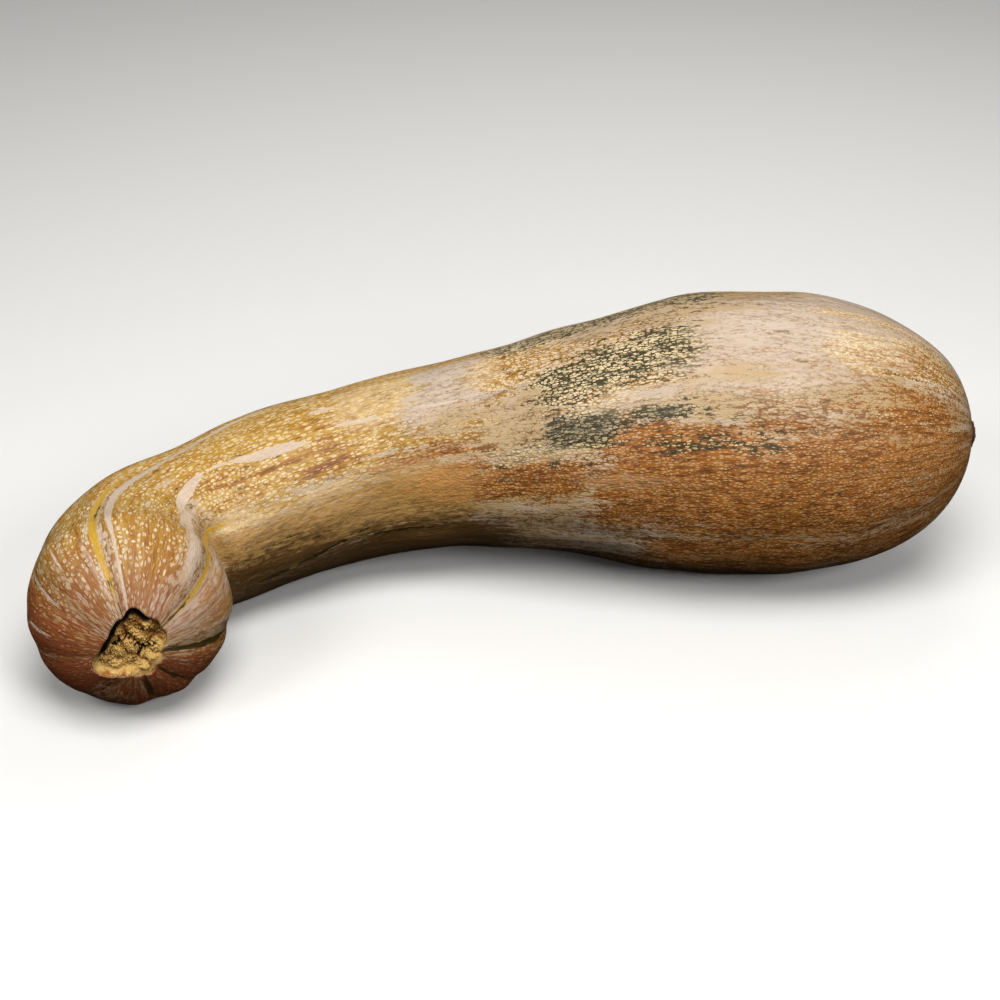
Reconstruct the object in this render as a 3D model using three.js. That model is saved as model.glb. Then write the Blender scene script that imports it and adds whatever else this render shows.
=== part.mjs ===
import * as THREE from 'three';
import { mergeVertices } from 'three/addons/utils/BufferGeometryUtils.js';

// A crook-necked pumpkin lying on its side. The fat bulb ends in the blossom button at +X, the long neck
// runs towards -X, and its end hooks round so that the stem scar faces -Y and a little upwards.
// All lengths are in millimetres. "Along" is the distance down the middle of the fruit from the blossom
// end, and "round" is the angle about that middle in degrees, from the inside of the hook over the top.

const LENGTH = 655; // down the middle, from the blossom end to the stem end
const SIDES = 72; // round each ring

// How thick the fruit is: radius at each distance along, before its two ends are rounded off.
const GIRTH = [
  [0, 90], [60, 87.5], [120, 89], [180, 88], [240, 76.5], [300, 63.5],
  [370, 56], [450, 55.5], [520, 51], [580, 55], [640, 63], [700, 53],
];
const BLOSSOM_END = { length: 120, fullness: 2.1 };
const STEM_END = { length: 58, fullness: 1.7 };

// The way the fruit bends in plan: a long gentle sweep of the neck, then the tight hook.
const FIRST_HEADING = 179;
const SWEEP = { angle: 31, start: 286, length: 214 };
const HOOK = { angle: 74, start: 467, length: 142 };
const FOLD = { along: 540, halfWidth: 9, depth: 5 }; // the crease in the skin inside the hook
const SQUEEZE = { along: 500, halfWidth: 26, height: 3.5 }; // the skin pushed up on the neck's side of it
const INSIDE_POWER = 1.5; // how closely both keep to the inside of the hook

// Height of the fruit's middle above the ground.
const HEIGHT = [
  [0, 89.5], [100, 88.4], [200, 85.6], [300, 75.2], [400, 61.4],
  [480, 51.2], [560, 52.8], [610, 56.8], [655, 63],
];
const SUNK = 1.4; // how far the weight presses the underside flat

// Furrows that run out from the stem scar and fade along the neck.
const FURROWS = [
  { round: 28, depth: 3, width: 9 },
  { round: 66, depth: 1, width: 10 },
  { round: 103, depth: 2.8, width: 8 },
  { round: 150, depth: 1.6, width: 10 },
  { round: 193, depth: 1.8, width: 10 },
  { round: 236, depth: 1.6, width: 10 },
  { round: 279, depth: 2.2, width: 8 },
  { round: 307, depth: 2, width: 7 },
  { round: 343, depth: 3, width: 8 },
];
const LOBE_RISE = 0.9; // of the skin between them
const FURROWS_START = [4, 40]; // where they deepen from nothing, beyond the blossom end
const FURROW_STRENGTH = [
  [0, 0.35], [40, 0.3], [200, 0.2], [400, 0.15], [500, 0.3], [590, 0.85], [632, 1], [655, 0.6],
];

// Slow swellings of the skin: height, length along, times round and where each starts.
const SWELLINGS = [
  { height: 0.7, length: 240, times: 2, start: 0.6 },
  { height: 0.5, length: 150, times: 3, start: 2.1 },
  { height: 0.35, length: 90, times: 5, start: 4.0 },
];

// The scar that the broken stem left: five uneven sides, as the distance from its middle to its rim.
const SCAR_RIM = [
  [2, 17.6], [27, 19.5], [58, 18.6], [86, 22], [114, 18], [150, 16], [180, 18.6], [203, 27],
  [228, 24], [256, 17.6], [283, 20.8], [310, 17.8], [338, 17.2],
];
const SCAR_RADIUS = 20; // the rim's mean radius
const BRIM_RADIUS = 34; // beyond this the dome is round again
const CREVICE = { round: 125, halfWidth: 75, depth: 8 }; // under the upper rim, where skin and cork part
const CREVICE_LEAST = 1.6; // its depth on the lower side, where cork and skin are nearly level
const CREVICE_WALL = 0.07; // share of the way in from the rim that the wall of the crevice takes
const CORK_EDGE = 0.3; // share of the way in at which the cork has risen out of the crevice
const CORK_LEVEL = 0.5; // share of the way in at which the face no longer follows the uneven rim
const CORK_SINK = 3; // of the cork's face below the rim
const CORK_LUMPS = { height: 1.3, times: 3, twist: 6, waves: 8 };
const FLAP = { round: 238, halfWidth: 24, height: 1.8 }; // torn flesh that stands up on the lower rim
const FLAP_ROOT = 0.8; // share of the rim's distance at which the flap begins to rise
const SCAR_RINGS = [0.93, 0.86, 0.76, 0.6, 0.42, 0.22, 0]; // as shares of the rim's distance

// The dried flower end: a small corky button in a slight dimple, as rings of radius and height.
const BUTTON = [[0, 3.4], [5, 3.2], [8.5, 1.8], [9, -1.2]];

const RING_GAP = 13; // between rings where the fruit is straight
const HOOK_RING_GAP = 8;
const END_RINGS = 9;
const BRIM_RINGS = 3;
const HALVINGS = 24; // enough to find a place along to a millionth of a millimetre

const radians = THREE.MathUtils.degToRad;
const { clamp, smoothstep } = THREE.MathUtils;

// A smooth line through stations of distance and value, each slope taken from its neighbours.
function through(stations, at) {
  const last = stations.length - 1;
  const slope = (i) => {
    const [x0, y0] = stations[Math.max(i - 1, 0)];
    const [x1, y1] = stations[Math.min(i + 1, last)];
    return (y1 - y0) / (x1 - x0);
  };
  let i = 0;
  while (i < last - 1 && at >= stations[i + 1][0]) i += 1;
  const [x0, y0] = stations[i];
  const [x1, y1] = stations[i + 1];
  const span = x1 - x0;
  const t = (at - x0) / span;
  const start = (1 + 2 * t) * (1 - t) ** 2 * y0 + t * (1 - t) ** 2 * span * slope(i);
  const end = t * t * (3 - 2 * t) * y1 + t * t * (t - 1) * span * slope(i + 1);
  return start + end;
}

// The same round a full turn, with the stations in degrees.
function throughRound(stations, round) {
  const before = stations.slice(-2).map(([a, value]) => [a - 360, value]);
  const after = stations.slice(0, 2).map(([a, value]) => [a + 360, value]);
  return through([...before, ...stations, ...after], round);
}

// Signed angle from one direction to another, from -180 to 180.
const apart = (from, to) => ((((to - from) % 360) + 540) % 360) - 180;

// A soft bump of height 1 about a middle.
const bump = (distance, halfWidth) => Math.exp(-((distance / halfWidth) ** 2));

function radiusAt(along) {
  const closing = (depth, { length, fullness }) => {
    const left = clamp(1 - depth / length, 0, 1);
    return (1 - left ** fullness) ** (1 / fullness);
  };
  return through(GIRTH, along) * closing(along, BLOSSOM_END) * closing(LENGTH - along, STEM_END);
}

// How far along the stem end has narrowed to a radius, found by halving.
function alongAtRadius(radius) {
  let low = LENGTH - STEM_END.length / 2;
  let high = LENGTH;
  for (let i = 0; i < HALVINGS; i += 1) {
    const middle = (low + high) / 2;
    if (radiusAt(middle) > radius) low = middle;
    else high = middle;
  }
  return low;
}

function headingAt(along) {
  const turned = (bend) => bend.angle * smoothstep(along, bend.start, bend.start + bend.length);
  return radians(FIRST_HEADING + turned(SWEEP) + turned(HOOK));
}

// The middle of the fruit in plan, stepped out millimetre by millimetre.
const middle = [new THREE.Vector2(0, 0)];
for (let along = 0.5; along < LENGTH; along += 1) {
  const heading = headingAt(along);
  const next = new THREE.Vector2(Math.cos(heading), Math.sin(heading)).add(middle.at(-1));
  middle.push(next);
}

function middleAt(along) {
  const i = Math.min(Math.floor(along), LENGTH - 1);
  const plan = middle[i].clone().lerp(middle[i + 1], along - i);
  return new THREE.Vector3(plan.x, plan.y, through(HEIGHT, along));
}

// Puts a point of the straight fruit, given by its distance along, its radius and its angle, on the bent one.
function bend(along, radius, round) {
  const inside = clamp(along, 1, LENGTH - 1);
  const ahead = middleAt(inside + 1).sub(middleAt(inside - 1)).normalize();
  const side = new THREE.Vector3(0, 0, 1).cross(ahead).normalize();
  const up = ahead.clone().cross(side);
  const point = middleAt(clamp(along, 0, LENGTH));
  point.addScaledVector(ahead, along - clamp(along, 0, LENGTH));
  point.addScaledVector(side, radius * Math.cos(radians(round)));
  return point.addScaledVector(up, radius * Math.sin(radians(round)));
}

// What the skin's furrows, swellings and the fold in the hook add to the radius.
function skinRelief(along, round) {
  let furrow = 0;
  for (const one of FURROWS) furrow += one.depth * bump(apart(one.round, round), one.width);
  let swelling = 0;
  for (const one of SWELLINGS) {
    const turn = one.times * radians(round) + one.start;
    swelling += one.height * Math.sin((2 * Math.PI * along) / one.length + turn);
  }
  const ends = smoothstep(along, 0, BLOSSOM_END.length / 2) * smoothstep(LENGTH - along, 0, STEM_END.length);
  const strength = through(FURROW_STRENGTH, along) * smoothstep(along, ...FURROWS_START);
  const inside = Math.max(Math.cos(radians(round)), 0) ** INSIDE_POWER;
  const squeezed = SQUEEZE.height * bump(along - SQUEEZE.along, SQUEEZE.halfWidth);
  const fold = FOLD.depth * bump(along - FOLD.along, FOLD.halfWidth);
  return swelling * ends + (LOBE_RISE - furrow) * strength + (squeezed - fold) * inside;
}

function skin(along, round) {
  return bend(along, radiusAt(along) + skinRelief(along, round), round);
}

const flapHeight = (round) => FLAP.height * bump(apart(FLAP.round, round), FLAP.halfWidth);

// A point of the dome just outside the scar, where the rings draw in from round to the scar's own outline.
function brim(share, round) {
  const rim = throughRound(SCAR_RIM, round);
  const radius = rim + (BRIM_RADIUS - rim) * share;
  const along = alongAtRadius(radius);
  const raised = flapHeight(round) * (1 - share) ** 2;
  return bend(along + raised, radius + skinRelief(along, round), round);
}

// A point inside the scar, from its rim at a share of 1 to its middle at 0: the crevice, then lumpy cork.
function scar(share, round) {
  const rim = throughRound(SCAR_RIM, round);
  const rimAlong = alongAtRadius(rim);
  const corkAlong = alongAtRadius(SCAR_RADIUS);
  const level = rimAlong + (corkAlong - rimAlong) * smoothstep(1 - share, 0, CORK_LEVEL);
  const spread = bump(apart(CREVICE.round, round), CREVICE.halfWidth);
  const crevice = CREVICE_LEAST + (CREVICE.depth - CREVICE_LEAST) * spread;
  const risen = smoothstep(1 - share, CREVICE_WALL, CORK_EDGE);
  const lump = Math.sin(CORK_LUMPS.times * radians(round) + CORK_LUMPS.twist * share);
  const rough = lump * Math.cos(CORK_LUMPS.waves * share) * smoothstep(share, 0, CORK_EDGE);
  const face = CORK_SINK - CORK_LUMPS.height * rough;
  const depth = smoothstep(1 - share, 0, CREVICE_WALL) * (crevice + (face - crevice) * risen);
  const raised = flapHeight(round) * smoothstep(share, FLAP_ROOT, 1);
  return bend(level - depth + raised, (rim + skinRelief(rimAlong, round)) * share, round);
}

// Each ring of the fruit: the point of the straight profile that it turns from, and where it ends up.
const rings = [];
const ring = (along, radius, place) => rings.push({ along, radius, place });
const skinRing = (along) => ring(along, radiusAt(along), (round) => skin(along, round));

for (const [radius, height] of BUTTON) ring(-height, radius, (round) => bend(-height, radius, round));
for (let i = 2; i <= END_RINGS; i += 1) {
  skinRing(BLOSSOM_END.length * (1 - Math.cos(((i / (END_RINGS + 1)) * Math.PI) / 2)));
}
let reached = BLOSSOM_END.length;
while (reached < LENGTH - STEM_END.length) {
  skinRing(reached);
  reached += reached < HOOK.start ? RING_GAP : HOOK_RING_GAP;
}
const brimAlong = alongAtRadius(BRIM_RADIUS);
for (let i = 0; i < END_RINGS; i += 1) {
  skinRing(reached + (brimAlong - reached) * Math.sin(((i / END_RINGS) * Math.PI) / 2));
}
for (let i = BRIM_RINGS; i >= 0; i -= 1) {
  const share = i / (BRIM_RINGS + 1);
  ring(brimAlong, SCAR_RADIUS + (BRIM_RADIUS - SCAR_RADIUS) * share, (round) => brim(share, round));
}
for (const share of SCAR_RINGS) {
  ring(LENGTH - CORK_SINK, SCAR_RADIUS * share, (round) => scar(share, round));
}

const profile = rings.map((one) => new THREE.Vector2(one.radius, one.along));
const rind = new THREE.LatheGeometry(profile, SIDES);

const position = rind.getAttribute('position');
const turned = rind.getAttribute('uv');
for (let i = 0; i < position.count; i += 1) {
  const place = rings[Math.round(turned.getY(i) * (rings.length - 1))].place;
  const point = place((turned.getX(i) % 1) * 360);
  position.setXYZ(i, point.x, point.y, point.z);
}

// Centre the fruit over its origin, and press its lowest places flat on the ground.
rind.computeBoundingBox();
const box = rind.boundingBox;
const centre = box.getCenter(new THREE.Vector3());
rind.translate(-centre.x, -centre.y, -box.min.z - SUNK);
for (let i = 0; i < position.count; i += 1) position.setZ(i, Math.max(position.getZ(i), 0));

// One closed skin: shared points joined, and the flat faces at the two ends of the turning axis dropped.
rind.deleteAttribute('uv');
rind.deleteAttribute('normal');
const closed = mergeVertices(rind);
const corners = Array.from(closed.index.array);
const faces = [];
for (let i = 0; i < corners.length; i += 3) {
  const [a, b, c] = corners.slice(i, i + 3);
  if (a !== b && b !== c && c !== a) faces.push(a, b, c);
}
closed.setIndex(faces);
closed.computeVertexNormals();

const finish = new THREE.MeshStandardMaterial({ color: 0xbb9258, roughness: 0.55, metalness: 0 });
const pumpkin = new THREE.Mesh(closed, finish);
pumpkin.name = 'pumpkin';

const fruit = new THREE.Group();
fruit.add(pumpkin);

export default fruit;
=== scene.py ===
import math
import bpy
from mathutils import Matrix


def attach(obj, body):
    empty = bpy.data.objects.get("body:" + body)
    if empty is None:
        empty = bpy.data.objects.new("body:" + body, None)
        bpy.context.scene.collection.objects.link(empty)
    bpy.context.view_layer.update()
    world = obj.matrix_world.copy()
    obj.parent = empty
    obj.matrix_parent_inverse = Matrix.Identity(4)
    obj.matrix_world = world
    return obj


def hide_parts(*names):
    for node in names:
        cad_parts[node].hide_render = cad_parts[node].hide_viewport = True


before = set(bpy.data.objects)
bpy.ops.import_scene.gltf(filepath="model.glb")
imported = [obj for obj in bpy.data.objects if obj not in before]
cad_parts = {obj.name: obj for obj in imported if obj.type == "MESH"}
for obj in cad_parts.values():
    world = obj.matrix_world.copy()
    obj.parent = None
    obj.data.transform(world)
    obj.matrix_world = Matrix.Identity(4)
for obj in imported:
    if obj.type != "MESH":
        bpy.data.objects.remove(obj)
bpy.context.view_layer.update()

from types import SimpleNamespace

import bpy
import numpy as np
from mathutils import Vector

# A crook-necked pumpkin lying on its side, dressed over its plain solid. Its fat bulb ends in the blossom
# button at +X, and its long neck hooks round so that the stem scar faces -Y.
# The shape is worked out in millimetres and turned into metres as each mesh is made. "Along" is the distance
# down the middle of the fruit from the blossom end. "Round" is the angle about that middle in degrees, from
# the inside of the hook over the top.

MM = 0.001
SEED = 41

# The form of the fruit, the same as the solid's.
LENGTH = 655
GIRTH = [
    (0, 90), (60, 87.5), (120, 89), (180, 88), (240, 76.5), (300, 63.5),
    (370, 56), (450, 55.5), (520, 51), (580, 55), (640, 63), (700, 53),
]
BLOSSOM_END = {"length": 120, "fullness": 2.1}
STEM_END = {"length": 58, "fullness": 1.7}
FIRST_HEADING = 179
SWEEP = {"angle": 31, "start": 286, "length": 214}
HOOK = {"angle": 74, "start": 467, "length": 142}
FOLD = {"along": 540, "half_width": 9, "depth": 5}
SQUEEZE = {"along": 500, "half_width": 26, "height": 3.5}
INSIDE_POWER = 1.5
HEIGHT = [
    (0, 89.5), (100, 88.4), (200, 85.6), (300, 75.2), (400, 61.4),
    (480, 51.2), (560, 52.8), (610, 56.8), (655, 63),
]
SUNK = 1.4
# Each furrow's place round, depth and half width.
FURROWS = [
    (28, 3, 9), (66, 1, 10), (103, 2.8, 8), (150, 1.6, 10), (193, 1.8, 10),
    (236, 1.6, 10), (279, 2.2, 8), (307, 2, 7), (343, 3, 8),
]
LOBE_RISE = 0.9
FURROWS_START = (4, 40)
FURROW_STRENGTH = [
    (0, 0.35), (40, 0.3), (200, 0.2), (400, 0.15), (500, 0.3), (590, 0.85), (632, 1), (655, 0.6),
]
# Each slow swelling's height, length, times round and start.
SWELLINGS = [(0.7, 240, 2, 0.6), (0.5, 150, 3, 2.1), (0.35, 90, 5, 4.0)]
SCAR_RIM = [
    (2, 17.6), (27, 19.5), (58, 18.6), (86, 22), (114, 18), (150, 16), (180, 18.6), (203, 27),
    (228, 24), (256, 17.6), (283, 20.8), (310, 17.8), (338, 17.2),
]
SCAR_RADIUS = 20
BRIM_RADIUS = 34
CREVICE = {"round": 125, "half_width": 75, "depth": 8}
CREVICE_LEAST = 1.6
CREVICE_WALL = 0.07
CORK_EDGE = 0.3
CORK_SINK = 3
CORK_LUMPS = {"height": 1.3, "times": 3, "twist": 6, "waves": 8}
FLAP = {"round": 238, "half_width": 24, "height": 1.8}

# The finer meshes: how close their rings lie, and how many points go round each. The skin's rings lie closer
# from the start of the dome.
SKIN_GAP = 2.35
DOME_GAP = 1.25
DOME_STARTS = 600
SKIN_SIDES = 264
CORK_RINGS = 110
CORK_SIDES = 260
BUTTON_RINGS = 34
BUTTON_SIDES = 96


def smoothstep(value, low, high):
    share = np.clip((value - low) / (high - low), 0, 1)
    return share * share * (3 - 2 * share)


def bump(distance, half_width):
    return np.exp(-((distance / half_width) ** 2))


def apart(start, end):
    """Signed angle from one direction to another, from -180 to 180."""
    return (end - start) % 360 - 360 * (((end - start) % 360) > 180)


def across_and_over(radius, round_at):
    turn = np.radians(round_at)
    return radius * np.cos(turn), radius * np.sin(turn)


def through(stations, at):
    """A smooth line through stations of distance and value, each slope taken from its neighbours."""
    x, y = np.array(stations, float).T
    slope = np.empty_like(x)
    slope[1:-1] = (y[2:] - y[:-2]) / (x[2:] - x[:-2])
    slope[0] = (y[1] - y[0]) / (x[1] - x[0])
    slope[-1] = (y[-1] - y[-2]) / (x[-1] - x[-2])
    i = np.clip(np.searchsorted(x, at, side="right") - 1, 0, len(x) - 2)
    span = x[i + 1] - x[i]
    t = (at - x[i]) / span
    start = (1 + 2 * t) * (1 - t) ** 2 * y[i] + t * (1 - t) ** 2 * span * slope[i]
    end = t * t * (3 - 2 * t) * y[i + 1] + t * t * (t - 1) * span * slope[i + 1]
    return start + end


def through_round(stations, round_at):
    """The same round a full turn, with the stations in degrees."""
    before = [(angle - 360, value) for angle, value in stations[-2:]]
    after = [(angle + 360, value) for angle, value in stations[:2]]
    return through(before + stations + after, round_at)


def closing(depth, end):
    left = np.clip(1 - depth / end["length"], 0, 1)
    return (1 - left ** end["fullness"]) ** (1 / end["fullness"])


def radius_at(along):
    return through(GIRTH, along) * closing(along, BLOSSOM_END) * closing(LENGTH - along, STEM_END)


def along_at_radius(radius):
    """How far along the stem end has narrowed to a radius."""
    steps = np.linspace(LENGTH - STEM_END["length"] / 2, LENGTH, 600)
    return np.interp(-np.asarray(radius, float), -radius_at(steps), steps)


def middle_line():
    """The middle of the fruit at every millimetre along."""
    steps = np.arange(LENGTH + 1)
    half = steps[:-1] + 0.5
    turned = np.full(LENGTH, float(FIRST_HEADING))
    for one in (SWEEP, HOOK):
        turned += one["angle"] * smoothstep(half, one["start"], one["start"] + one["length"])
    heading = np.radians(turned)
    x = np.concatenate([[0], np.cumsum(np.cos(heading))])
    y = np.concatenate([[0], np.cumsum(np.sin(heading))])
    return steps, x, y


STEPS, MIDDLE_X, MIDDLE_Y = middle_line()


def middle_at(along):
    x = np.interp(along, STEPS, MIDDLE_X)
    y = np.interp(along, STEPS, MIDDLE_Y)
    return np.stack([x, y, through(HEIGHT, along)], -1)


def unit(vectors):
    return vectors / np.linalg.norm(vectors, axis=-1, keepdims=True)


def bend(along, radius, round_at):
    """Puts points of the straight fruit on the bent one."""
    along, radius, round_at = np.broadcast_arrays(along, radius, round_at)
    inside = np.clip(along, 1, LENGTH - 1)
    ahead = unit(middle_at(inside + 1) - middle_at(inside - 1))
    side = unit(np.cross([0, 0, 1], ahead))
    up = np.cross(ahead, side)
    held = np.clip(along, 0, LENGTH)
    turn = np.radians(round_at)[..., None]
    out = np.cos(turn) * side + np.sin(turn) * up
    return middle_at(held) + (along - held)[..., None] * ahead + radius[..., None] * out


class Waves:
    """Smooth seeded unevenness, from -1 to 1 or so, in as many dimensions as its sizes."""

    def __init__(self, seed, sizes, count=48):
        draw = np.random.default_rng(seed)
        way = unit(draw.normal(size=(count, len(sizes))))
        pace = draw.uniform(0.75, 1.35, (count, 1))
        self.way = 2 * math.pi * way * pace / np.array(sizes)
        self.start = draw.uniform(0, 2 * math.pi, count)

    def __call__(self, *places):
        total = 0
        for way, start in zip(self.way, self.start):
            total = total + np.sin(sum(pace * place for pace, place in zip(way, places)) + start)
        return total / math.sqrt(len(self.start)) * 1.1


def skin_relief(along, round_at):
    """What the furrows, swellings and the fold in the hook add to the radius."""
    furrow = 0
    for middle, depth, width in FURROWS:
        furrow = furrow + depth * bump(apart(middle, round_at), width)
    turn = np.radians(round_at)
    swelling = 0
    for height, length, times, start in SWELLINGS:
        swelling = swelling + height * np.sin(2 * math.pi * along / length + times * turn + start)
    ends = smoothstep(along, 0, BLOSSOM_END["length"] / 2) * smoothstep(LENGTH - along, 0, STEM_END["length"])
    strength = through(FURROW_STRENGTH, along) * smoothstep(along, *FURROWS_START)
    inside = np.maximum(np.cos(turn), 0) ** INSIDE_POWER
    squeezed = SQUEEZE["height"] * bump(along - SQUEEZE["along"], SQUEEZE["half_width"])
    fold = FOLD["depth"] * bump(along - FOLD["along"], FOLD["half_width"])
    return swelling * ends + (LOBE_RISE - furrow) * strength + (squeezed - fold) * inside


SKIN_GRAIN_RADIUS = 55  # the grain of the skin and its dents lie as on a round bar of this radius
# The skin's finer unevenness: soft dents as wide as a thumb, and low lengthwise ripples.
DENTS = Waves(SEED, (46, 34, 34))
RIPPLES = Waves(SEED + 1, (70, 12, 12))
DENT_DEPTH = 0.38
RIPPLE_DEPTH = 0.16
# Lesser folds beside the one in the hook: their place along, half width and depth.
FINE_CREASES = [(526, 5, 1.3), (551, 4, 0.9)]
CREASE_SWAY = 6


def fine_relief(along, round_at):
    turn = np.radians(round_at)
    across, over = across_and_over(SKIN_GRAIN_RADIUS, round_at)
    fades = smoothstep(along, 0, 14) * smoothstep(LENGTH - along, 6, 22)
    uneven = DENT_DEPTH * DENTS(along, across, over) + RIPPLE_DEPTH * RIPPLES(along, across, over)
    inside = np.maximum(np.cos(turn), 0) ** INSIDE_POWER
    creased = 0
    for place, half_width, depth in FINE_CREASES:
        creased = creased + depth * bump(along - place - CREASE_SWAY * np.sin(3 * turn), half_width)
    return uneven * fades - creased * inside


def flap_height(round_at):
    return FLAP["height"] * bump(apart(FLAP["round"], round_at), FLAP["half_width"])


RAGGED = Waves(SEED + 2, (12, 12), 24)
RAGGED_DEPTH = 0.16


def rim_radius(round_at):
    """The scar's rim, a little ragged where the stem tore away."""
    return through_round(SCAR_RIM, round_at) + RAGGED_DEPTH * RAGGED(*across_and_over(SCAR_RADIUS, round_at))


def skin_point(along, round_at):
    radius = radius_at(along) + skin_relief(along, round_at) + fine_relief(along, round_at)
    return bend(along, radius, round_at)


def brim_point(share, round_at):
    """The dome just outside the scar, drawing in to the scar's own outline."""
    rim = rim_radius(round_at)
    radius = rim + (BRIM_RADIUS - rim) * share
    along = along_at_radius(radius)
    raised = flap_height(round_at) * (1 - share) ** 2
    relief = skin_relief(along, round_at) + fine_relief(along, round_at) * share
    return bend(along + raised, radius + relief, round_at)


def scar_level(share, round_at):
    """How far along the rim's own level lies, from its edge at a share of 1 to the middle at 0."""
    rim_along = along_at_radius(rim_radius(round_at))
    cork_along = along_at_radius(SCAR_RADIUS)
    return rim_along + (cork_along - rim_along) * smoothstep(1 - share, 0, 0.5)


def scar_reach(round_at):
    rim = rim_radius(round_at)
    return rim + skin_relief(along_at_radius(rim), round_at)


def crevice_depth(round_at):
    spread = bump(apart(CREVICE["round"], round_at), CREVICE["half_width"])
    return CREVICE_LEAST + (CREVICE["depth"] - CREVICE_LEAST) * spread


def skin_rings():
    """Distances along of the skin's rings, evenly spaced over its surface as far as the brim."""
    fine = LENGTH * (1 - np.cos(np.linspace(0, math.pi, 6000))) / 2
    brim_along = float(along_at_radius(BRIM_RADIUS))
    fine = fine[fine < brim_along]
    fine = np.append(fine, brim_along)
    radius = radius_at(fine)
    surface = np.concatenate([[0], np.cumsum(np.hypot(np.diff(fine), np.diff(radius)))])
    gap = np.where(fine[1:] < DOME_STARTS, SKIN_GAP, DOME_GAP)
    count = np.concatenate([[0], np.cumsum(np.diff(surface) / gap)])
    wanted = np.linspace(0, count[-1], int(round(count[-1])) + 1)
    return np.interp(wanted, count, fine), np.interp(wanted, count, surface)


# Where the colours lie on the skin. Each patch is its start and end along, the angle round at each of those
# ends, its half width in degrees, and its strength.
GREEN_NET = [
    (160, 300, 104, 102, 9, 1.0), (200, 236, 98, 98, 7, 0.7), (174, 270, 71, 57, 11, 1.1),
    (176, 216, 40, 39, 3, 0.9), (222, 268, 36, 31, 9, 1.2), (258, 304, 29, 22, 5, 0.85),
    (128, 206, 27, 26, 5, 0.48),
]
RUST_NET = [
    (36, 240, 4, 8, 24, 1.1), (2, 110, 6, 8, 34, 0.95), (6, 80, 44, 40, 14, 0.8),
    (120, 240, 24, 27, 9, 1.0), (236, 356, 15, 14, 11, 1.1), (20, 66, 44, 42, 8, 0.8),
    (10, 92, 69, 64, 11, 0.35), (374, 450, 46, 44, 7, 0.5), (378, 530, 58, 50, 11, 0.36),
    (30, 210, -30, -26, 18, 0.9), (300, 390, 32, 37, 7, 0.7), (90, 170, 32, 31, 6, 0.7),
    # The patch at 290 round, on the dome's underside, also stands in for painted shade there.
    (590, 655, 168, 176, 22, 1.0), (600, 655, 206, 212, 26, 1.0), (590, 655, 290, 290, 50, 1.0),
]
GOLD_NET = [
    (352, 534, 84, 78, 30, 1.1), (536, 652, 74, 74, 21, 1.1), (246, 306, 86, 78, 18, 0.9),
    (276, 345, 107, 106, 8, 0.9), (8, 104, 72, 66, 14, 0.72), (440, 566, 116, 112, 14, 1.0),
    (20, 110, 92, 90, 6, 0.6), (330, 440, 106, 108, 11, 0.8), (545, 652, 130, 128, 30, 0.62),
    (560, 640, 162, 160, 26, 0.7), (575, 655, 190, 200, 34, 0.9), (190, 266, 66, 60, 18, 0.85),
    (362, 530, 50, 50, 16, 1.0), (290, 400, 44, 40, 10, 0.5), (10, 90, 38, 36, 9, 0.6),
    (420, 540, 28, 30, 6, 0.6),
]
# Smooth, pale skin with little net; on the bulb's top it is also a painted sheen.
BARE_AND_SHEEN = [
    (50, 176, 72, 74, 17, 1.0), (66, 196, 54, 52, 10, 0.6), (14, 112, 102, 102, 14, 0.8),
    (296, 398, 80, 76, 20, 1.0), (598, 652, 15, 15, 12, 1.0),
    (180, 240, 48, 46, 5, 0.8), (198, 242, 11, 11, 4, 1.1), (244, 308, 25, 24, 4, 1.1),
]
# Blue-grey cores of the green net.
SLATE = [(222, 268, 37, 32, 6, 1.1), (180, 214, 40, 39, 3, 0.8)]
# Smooth ochre skin where the neck is shaded from the sun.
OCHRE = [
    (310, 535, 8, 0, 22, 1.0), (470, 560, 20, 17, 17, 1.1), (4, 90, 20, 24, 16, 0.3),
    (365, 460, 26, 24, 7, 0.6), (590, 652, 6, 6, 20, 0.6), (300, 420, -24, -24, 16, 0.8),
]
# Painted shade: skin coloured a dark brown low down inside the neck and under the bulb.
SHADED = [(290, 530, -34, -40, 22, 1.3), (420, 545, -14, -22, 20, 1.1), (10, 300, -62, -60, 20, 1.25)]
# The red-brown round the scar; the patch at 290 round, on the dome's underside, is also painted shade.
BLUSH_AND_SHADE = [
    (634, 690, 66, 66, 50, 1.0), (606, 690, 70, 70, 46, 0.5), (612, 690, 138, 138, 36, 0.7),
    (604, 690, 205, 205, 56, 0.9), (598, 690, 290, 290, 50, 1.0), (604, 690, 12, 12, 20, 0.62),
]
# Each crisp pale mark's start and end along, the angle round at each end, and its half width in millimetres.
PALE_MARKS = [
    (368, 404, 64, 66, 2.0), (420, 476, 60, 67, 3.4), (476, 500, 67, 69, 1.0),
    (501, 560, 69, 53, 3.8), (424, 530, 112, 98, 1.7), (484, 622, 100, 94.5, 2.9),
    (596, 652, 95, 93, 1.1), (592, 634, 150, 151, 1.0), (396, 414, 82, 82, 1.6),
    (312, 350, 62, 64, 1.2), (276, 296, 112, 111, 1.3), (566, 582, 74, 74, 1.2),
    (590, 640, 193, 193, 0.6), (612, 636, 174, 175, 1.0), (606, 628, 131, 130, 0.9),
]
# Soft pale bands, given as patches are.
PALE_BANDS = [(536, 600, 50, 47, 5, 0.8), (560, 640, 46, 43, 5, 0.7), (612, 650, 113, 110, 2.5, 0.5)]
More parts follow.
